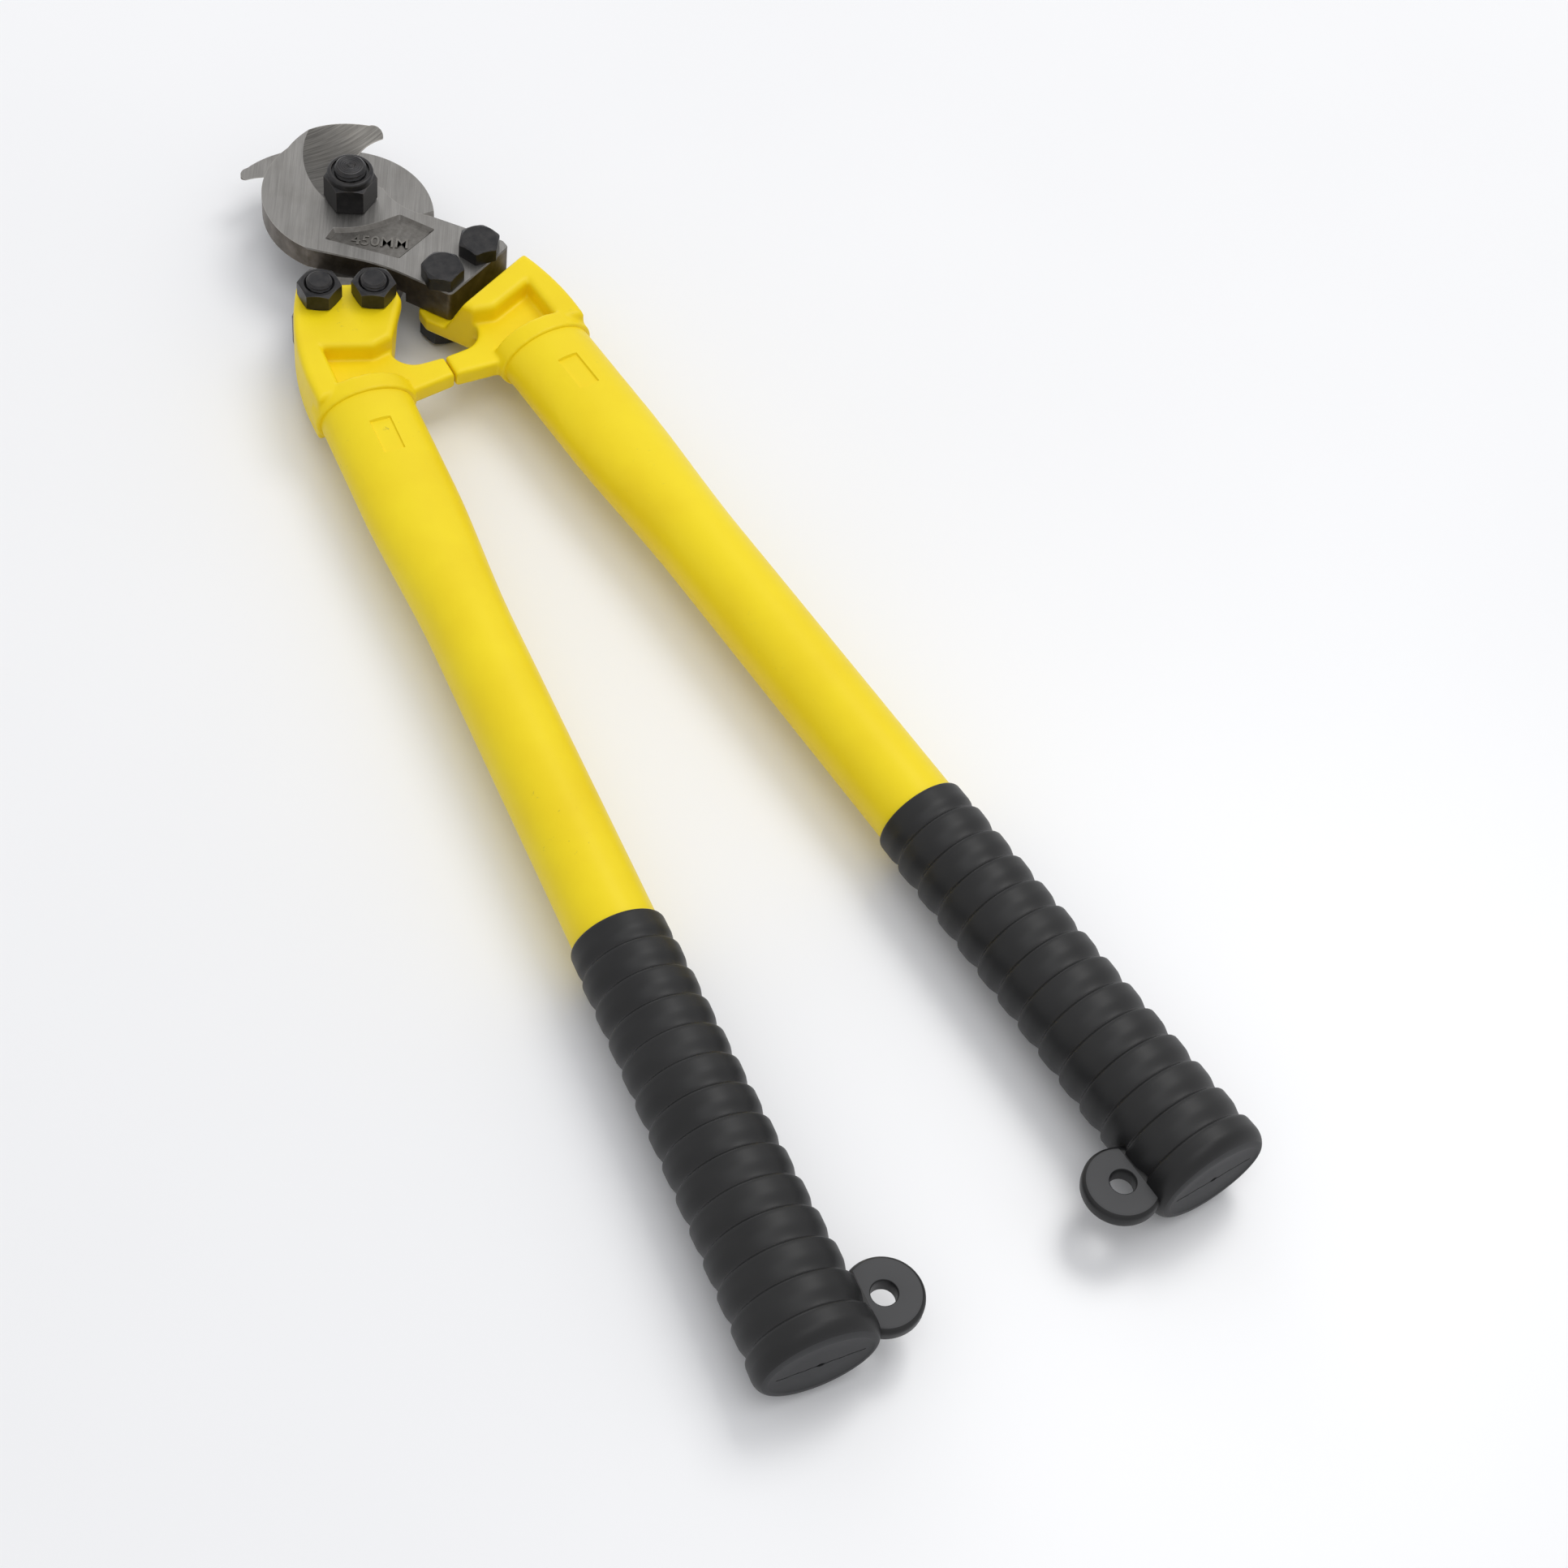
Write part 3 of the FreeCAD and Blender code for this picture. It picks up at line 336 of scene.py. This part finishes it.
def bolt_mesh(rows, around):
    """Points and faces of a closed form turned about Z.  Each row is a height and a radius,
    either of which may be an array round the circle; the first and last rows are capped."""
    angle = np.arange(around) * 2 * math.pi / around
    verts = []
    for height, radius in rows:
        height, radius = np.broadcast_to(height, around), np.broadcast_to(radius, around)
        verts.extend(np.stack([radius * np.cos(angle), radius * np.sin(angle), height], 1))
    faces = rings_to_faces(len(rows), around)
    faces.append(tuple(range(around))[::-1])
    faces.append(tuple(range((len(rows) - 1) * around, len(rows) * around)))
    return np.array(verts), faces


AROUND = 96
ANGLES = np.arange(AROUND) * 2 * math.pi / AROUND


def hexagon_radius(flats, turn, soften=0.12):
    """Radius of a hexagon at each angle, with slightly rounded corners."""
    off = (ANGLES - math.radians(turn)) % (math.pi / 3) - math.pi / 6
    sharp = flats / 2 / np.cos(off)
    corner = flats / 2 / math.cos(math.pi / 6)
    return np.minimum(sharp, corner - soften * (corner - flats / 2))


def head_rows(low, high, flats, turn):
    """A hexagon head from height low to high, whose top corners are turned off by a cone."""
    hexagon = hexagon_radius(flats, turn)
    face = flats / 2 - 0.45
    rows = [(low, hexagon)]
    depth = 1.6
    for step in np.linspace(0, 1, 13):
        height = high - depth * (1 - step)
        cone = face + (high - height) / math.tan(math.radians(30))
        rows.append((height, np.minimum(hexagon, cone)))
    rows.append((high, face - 0.25))
    return rows


def thread_rows(start, end, radius, pitch, depth, chamfer):
    """Rows of a helical thread from start to end, either way, turned off at the end."""
    rows = []
    count = int(abs(end - start) / (pitch / 10)) + 1
    way = 1 if end > start else -1
    for height in np.linspace(start, end, count):
        phase = (height / pitch * way - ANGLES / (2 * math.pi)) % 1.0
        ridge = np.clip(1.25 - 2.5 * np.abs(phase - 0.5), 0, 1)
        run = min(abs(height - start) / pitch, 1.0)
        cut = radius - depth * (1 - ridge) * run
        limit = radius - chamfer + abs(end - height) * 1.2
        rows.append((height, np.minimum(cut, limit)))
    return rows


def make_bolt(side_name, side, body, which, centre, turn):
    """Blade bolt: hexagon head on the blade, thread end past the nut under the lap."""
    node = f"{side_name}_bolt_{which}"
    low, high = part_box(node)
    bottom, top = sorted((end.z - PIVOT.z) / MM * side for end in (low, high))
    rows = thread_rows(-LAP + 1.0, bottom, BOLT_RADIUS, 1.25, 0.55, 0.75)[::-1]
    rows = [(bottom, 1.6)] + rows + [(BLADE, BOLT_RADIUS)]
    rows += head_rows(BLADE, top, BOLT_FLATS, turn)
    verts, faces = bolt_mesh(rows, AROUND)
    verts = [at(x + centre[0], y + centre[1], z, side) for x, y, z in verts]
    piece = new_piece(f"{side_name}_{which}_threaded_bolt", verts, faces, OXIDE, body, 30)
    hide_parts(node)
    return piece


def make_pivot_bolt():
    """Pivot bolt: head below, thread end with a turning mark on its face."""
    low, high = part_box("pivot_bolt")
    bottom, top = (low.z - PIVOT.z) / MM, (high.z - PIVOT.z) / MM
    seat = -BLADE - PIVOT_WASHER
    head = [(bottom + seat - z, r) for z, r in head_rows(bottom, seat, PIVOT_FLATS, PIVOT_TURN)][::-1]
    rows = head + [(seat, PIVOT_RADIUS)]
    rows += thread_rows(BLADE + 1, top, PIVOT_RADIUS, 1.5, 0.65, 0.85)
    turns = ANGLES / (2 * math.pi)
    for radius in np.arange(3.9, 0.1, -0.13):
        spiral = 0.16 * np.exp(-((radius - 0.35 - 1.25 * turns) / 0.2) ** 2)
        rings = 0.05 * math.sin(radius * 9.0)
        rows.append((top - 0.02 - spiral - 0.05 - rings, radius))
    verts, faces = bolt_mesh(rows, AROUND)
    verts = [at(x, y, z) for x, y, z in verts]
    piece = new_piece("pivot_threaded_bolt", verts, faces, OXIDE, "left_half", 30)
    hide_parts("pivot_bolt")
    return piece


# ---------------------------------------------------------------- grips

GRIP_START = 180.5
BORE_RADIUS = 12.6
BORE_END = 306.1
FIRST_GROOVE = 189.2
GROOVE_PITCH = 9.8
GROOVES = 13
RIB_HEIGHT = 1.25
EAR_BACK = 11.5
EAR_SIDE = 22.5
EAR_RADIUS = 11.0
EAR_HALF = 2.8
EAR_HOLE = 3.55
GRIP_AROUND = 120
# Where rings of points stand along one groove's pitch, closest on the step.
GROOVE_SHARES = (0, 0.02, 0.04, 0.06, 0.08, 0.1, 0.12, 0.15, 0.24, 0.36, 0.48, 0.58, 0.68, 0.77,
                 0.85, 0.92, 0.97)


def grip_axes(share):
    """Half axes of the grip's envelope, across and up, at a share of its length."""
    start, middle, end = np.array([14.3, 14.0]), np.array([15.6, 15.2]), np.array([18.0, 17.3])
    return (start * (1 - share) * (1 - 2 * share) + middle * 4 * share * (1 - share)
            + end * share * (2 * share - 1))


def ease(value):
    value = min(max(value, 0.0), 1.0)
    return value * value * (3 - 2 * value)


def rib_sink(along):
    """Depth below the envelope: each band starts with a steep step and falls away slowly."""
    last = FIRST_GROOVE + GROOVE_PITCH * (GROOVES - 1)
    if along < FIRST_GROOVE:
        share = (along - GRIP_START) / (FIRST_GROOVE - GRIP_START)
        return RIB_HEIGHT * (0.3 + 0.7 * ease((share - 0.6) / 0.4))
    share = (along - FIRST_GROOVE) / GROOVE_PITCH % 1.0
    if along > last:
        share = min((along - last) / GROOVE_PITCH, 0.16)
    rise = ease(share / 0.15) * (1 - 0.1 * ease((share - 0.15) / 0.4))
    return RIB_HEIGHT * (1 - rise * (1 - ease((share - 0.5) / 0.5)))


def make_grip(side_name, side, body):
    low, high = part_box(f"{side_name}_grip")
    end = (PIVOT.y - low.y) / MM + HANDLE_AT[1]
    end = end / math.cos(HANDLE_ANGLE) - 18.0 * math.tan(HANDLE_ANGLE)
    end = min(end, 316.2)
    rows = []
    cap_depth, cap_side, cap_top = 4.4, 2.7, 5.6
    body_end = end - cap_depth
    stations = [GRIP_START + 0.5]
    stations += list(np.linspace(GRIP_START + 1.2, FIRST_GROOVE - 0.6, 8))
    for k in range(GROOVES):
        start = FIRST_GROOVE + k * GROOVE_PITCH
        reach = GROOVE_PITCH if k < GROOVES - 1 else body_end - start
        stations += [start + share * reach for share in GROOVE_SHARES]
    stations.append(body_end)
    for station in stations:
        across, up = grip_axes((station - GRIP_START) / (end - GRIP_START)) - rib_sink(station)
        rows.append((station, across, up))
    across, up = rows[-1][1:]
    for turn in np.radians(np.linspace(10, 90, 12)):
        rows.append((body_end + cap_depth * math.sin(turn), across - cap_side * (1 - math.cos(turn)),
                     up - cap_top * (1 - math.cos(turn))))
    flat_across, flat_up = across - cap_side, up - cap_top
    for share in (0.985, 0.97, 0.94, 0.6, 0.25):
        sunk = 0.0 if share > 0.975 else 0.3 * min(1.0, (0.985 - share) / 0.04)
        rows.append((end - sunk, flat_across * share, flat_up * share))
    across, up = rows[0][1:]
    inner = [(BORE_END, BORE_RADIUS, BORE_RADIUS), (GRIP_START + 0.4, BORE_RADIUS, BORE_RADIUS),
             (GRIP_START, BORE_RADIUS + 0.35, BORE_RADIUS + 0.35),
             (GRIP_START, across - 0.5, up - 0.5), (GRIP_START + 0.15, across - 0.15, up - 0.15)]
    rows = inner + rows
    angle = np.arange(GRIP_AROUND) * 2 * math.pi / GRIP_AROUND
    verts = []
    for along, wide, tall in rows:
        for a in angle:
            verts.append(handle_point(along, wide * math.cos(a), tall * math.sin(a), side))
    faces = rings_to_faces(len(rows), GRIP_AROUND)
    faces.append(tuple(range(GRIP_AROUND)))
    faces.append(tuple(range((len(rows) - 1) * GRIP_AROUND, len(rows) * GRIP_AROUND))[::-1])
    material = grip_black(side, end)
    piece = new_piece(f"{side_name}_ribbed_grip", verts, faces, material, body, 50)
    ear = make_ear(side, end)
    line = make_line(side, end)
    for other, operation in ((ear, "UNION"), (line, "DIFFERENCE")):
        cut = piece.modifiers.new(operation, "BOOLEAN")
        cut.operation, cut.object, cut.solver = operation, other, "EXACT"
        apply_modifiers(piece)
        bpy.data.objects.remove(other)
    settle(piece, 50)
    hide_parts(f"{side_name}_grip")
    return piece


def apply_modifiers(piece):
    graph = bpy.context.evaluated_depsgraph_get()
    made = bpy.data.meshes.new_from_object(piece.evaluated_get(graph))
    piece.modifiers.clear()
    old, piece.data = piece.data, made
    bpy.data.meshes.remove(old)


def loose_mesh(name, verts, faces):
    mesh = bpy.data.meshes.new(name)
    mesh.from_pydata([tuple(v) for v in verts], [], faces)
    mesh.update()
    piece = bpy.data.objects.new(name, mesh)
    bpy.context.scene.collection.objects.link(piece)
    settle(piece, 50)
    return piece


def make_ear(side, end):
    """Flat ring with well rounded outer edges and a softened hole."""
    outer_round, hole_round = 1.9, 0.5
    profile = []
    for turn in np.radians(np.linspace(-90, 90, 13)):
        lift = (EAR_HALF - outer_round) * (1 if turn > 0 else -1)
        profile.append((EAR_RADIUS - outer_round * (1 - math.cos(turn)),
                        lift + outer_round * math.sin(turn)))
    for turn in np.radians(np.linspace(90, -90, 7)):
        lift = (EAR_HALF - hole_round) * (1 if turn > 0 else -1)
        profile.append((EAR_HOLE + hole_round * (1 - math.cos(turn)),
                        lift + hole_round * math.sin(turn)))
    around = 96
    verts = []
    for radius, up in profile:
        for k in range(around):
            a = 2 * math.pi * k / around
            verts.append(handle_point(end - EAR_BACK + radius * math.cos(a),
                                      -EAR_SIDE + radius * math.sin(a), up, side))
    return loose_mesh("ear", verts, rings_to_faces(len(profile), around, closed=True))


def make_line(side, end):
    """Ragged wedge that cuts the mould line and the gate mark into the end face."""
    reach, steps = 12.5, 60
    verts = []
    for k, across in enumerate(np.linspace(-reach, reach, steps)):
        ragged = math.sin(k * 2.3) * 0.5 + math.sin(k * 0.9 + side) * 0.5
        gate = math.exp(-(across / 0.9) ** 2)
        half = 0.30 + 0.10 * ragged + 0.8 * gate
        deep = (0.6 + 0.2 * gate) * (1 if abs(across) < reach - 1 else 0.3) + 0.3
        drift = 0.10 * math.sin(k * 0.5) + 0.1
        for up, back in ((half, -1.0), (half * 0.7, deep), (-half * 0.7, deep), (-half, -1.0)):
            verts.append(handle_point(end - back, across, up + drift, side))
    faces = [(4 * k + i, 4 * k + (i + 1) % 4, 4 * k + 4 + (i + 1) % 4, 4 * k + 4 + i)
             for k in range(steps - 1) for i in range(4)]
    faces += [(3, 2, 1, 0), tuple(4 * (steps - 1) + i for i in range(4))]
    return loose_mesh("mould_line", verts, faces)


# ---------------------------------------------------------------- size mark

def make_mark():
    """Raised size mark in the sunk panel of the upper blade."""
    text = bpy.data.curves.new("size_mark", "FONT")
    text.body = "450MM"
    text.size = 5.9 * MM
    text.offset = 0.02 * MM
    text.extrude = 0.25 * MM
    text.bevel_depth = 0.07 * MM
    text.bevel_resolution = 2
    text.align_x, text.align_y = "CENTER", "CENTER"
    holder = bpy.data.objects.new("size_mark_text", text)
    bpy.context.scene.collection.objects.link(holder)
    bpy.context.view_layer.update()
    mesh = bpy.data.meshes.new_from_object(holder.evaluated_get(bpy.context.evaluated_depsgraph_get()))
    bpy.data.objects.remove(holder)
    piece = bpy.data.objects.new("size_mark", mesh)
    bpy.context.scene.collection.objects.link(piece)
    place = at(0.8, -20.4, BLADE - 1.18)
    mesh.transform(Matrix.Translation(place) @ Matrix.Rotation(math.radians(-30), 4, "Z"))
    dress(piece, MARK)
    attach(piece, "right_half")
    return piece


# ---------------------------------------------------------------- build

BOLTS = {"outer": (27.2, -36.9), "inner": (11.7, -42.9)}
TURNS = {"right_outer": 56, "right_inner": 27, "left_outer": 20, "left_inner": 51}

for side_name, side, body in SIDES:
    for which, centre in BOLTS.items():
        make_bolt(side_name, side, body, which, centre, TURNS[f"{side_name}_{which}"])
    make_grip(side_name, side, body)
make_pivot_bolt()
make_mark()

FINISHES = {"blade": STEEL, "bracket": CAST, "tube": TUBE, "bolt": OXIDE, "nut": OXIDE, "washer": OXIDE,
            "insert": NYLON}
for name, node in NODES.items():
    for word, material in FINISHES.items():
        if word in name:
            dress(node, material)


def cast_round(node):
    """Rounds every edge and corner of a casting a little, as its mould does."""
    weld = node.modifiers.new("weld", "WELD")
    weld.merge_threshold = 0.000002
    remesh = node.modifiers.new("remesh", "REMESH")
    remesh.mode = "VOXEL"
    remesh.voxel_size = 0.4 * MM
    remesh.use_smooth_shade = True
    smooth = node.modifiers.new("smooth", "SMOOTH")
    smooth.factor = 0.5
    smooth.iterations = 20


for name in ("right_bracket", "left_bracket"):
    cast_round(NODES[name])

# ---------------------------------------------------------------- stage, light and camera

def plain(name, colour, roughness):
    f = Finish(name)
    tint = f.ramp(f.noise(6.0, 2.0), (0.3, tuple(0.985 * c for c in colour)), (0.7, colour))
    f.set(Base_Color=tint, Roughness=roughness)
    return f


def make_floor():
    reach = 4.0
    verts = [(-reach, -reach, 0), (reach, -reach, 0), (reach, reach, 0), (-reach, reach, 0)]
    mesh = bpy.data.meshes.new("floor")
    mesh.from_pydata([Vector(v) - Vector((0, 0, 0.0002)) for v in verts], [], [(0, 1, 2, 3)])
    floor = bpy.data.objects.new("floor", mesh)
    bpy.context.scene.collection.objects.link(floor)
    dress(floor, plain("floor", (0.90, 0.90, 0.91), 0.28).material)


def make_lamp(name, place, target, width, power, colour=(1, 1, 1)):
    data = bpy.data.lights.new(name, "AREA")
    data.shape, data.size, data.energy, data.color = "DISK", width, power, colour
    lamp = bpy.data.objects.new(name, data)
    lamp.location = place
    lamp.rotation_mode = "QUATERNION"
    lamp.rotation_quaternion = (Vector(target) - Vector(place)).to_track_quat("-Z", "Y")
    bpy.context.scene.collection.objects.link(lamp)


def make_world():
    world = bpy.data.worlds.new("studio")
    bpy.context.scene.world = world
    world.use_nodes = True
    tree = world.node_tree
    tree.nodes.clear()
    out = tree.nodes.new("ShaderNodeOutputWorld")
    rays = tree.nodes.new("ShaderNodeLightPath")
    room, seen = tree.nodes.new("ShaderNodeBackground"), tree.nodes.new("ShaderNodeBackground")
    place = tree.nodes.new("ShaderNodeTexCoord")
    split = tree.nodes.new("ShaderNodeSeparateXYZ")
    dome = tree.nodes.new("ShaderNodeValToRGB")
    dome.color_ramp.elements[0].position, dome.color_ramp.elements[0].color = 0.0, (0.40, 0.41, 0.42, 1)
    dome.color_ramp.elements[1].position, dome.color_ramp.elements[1].color = 0.9, (0.76, 0.765, 0.78, 1)
    tree.links.new(place.outputs["Generated"], split.inputs[0])
    tree.links.new(split.outputs["Z"], dome.inputs["Fac"])
    tree.links.new(dome.outputs["Color"], room.inputs["Color"])
    seen.inputs["Color"].default_value = (0.955, 0.955, 0.96, 1)
    seen.inputs["Strength"].default_value = 1.0
    mix = tree.nodes.new("ShaderNodeMixShader")
    straight = rays.outputs["Is Camera Ray"]
    for kind in ("Is Glossy Ray", "Is Transmission Ray"):
        either = tree.nodes.new("ShaderNodeMath")
        either.operation = "MAXIMUM"
        tree.links.new(straight, either.inputs[0])
        tree.links.new(rays.outputs[kind], either.inputs[1])
        straight = either.outputs[0]
    tree.links.new(straight, mix.inputs[0])
    tree.links.new(room.outputs[0], mix.inputs[1])
    tree.links.new(seen.outputs[0], mix.inputs[2])
    tree.links.new(mix.outputs[0], out.inputs["Surface"])


def make_camera():
    """The photograph's angle, fitted about the pivot: turned, raised, rolled, with a long lens."""
    azimuth, elevation, roll = -0.6436, 0.9435, 0.1699
    back = Vector((math.sin(azimuth) * math.cos(elevation), -math.cos(azimuth) * math.cos(elevation),
                   math.sin(elevation)))
    right = (-back).cross(Vector((0, 0, 1))).normalized()
    up = right.cross(-back)
    across = right * math.cos(roll) + up * math.sin(roll)
    over = up * math.cos(roll) - right * math.sin(roll)
    data = bpy.data.cameras.new("camera")
    data.lens, data.sensor_width = 72.82, 36.0
    data.clip_start, data.clip_end = 0.05, 20
    camera = bpy.data.objects.new("camera", data)
    place = at(18.435, -253.700, 0) + back * (900.511 * MM)
    turn = Matrix((across, over, back)).transposed().to_4x4()
    camera.matrix_world = Matrix.Translation(place) @ turn
    bpy.context.scene.collection.objects.link(camera)
    bpy.context.scene.camera = camera


make_floor()
make_world()
centre = (0.02, -0.05 + PIVOT.y - 0.15, 0)
make_lamp("key", (0.75, 0.25, 1.45), centre, 0.8, 6.5, (1.0, 0.995, 0.98))
make_lamp("overhead", (-0.1, -0.5, 1.8), centre, 1.2, 5.1, (0.98, 0.99, 1.0))
make_lamp("back", (0.35, 1.75, 0.55), centre, 0.9, 3.0)
make_camera()
scene = bpy.context.scene
scene.view_settings.view_transform = "Standard"
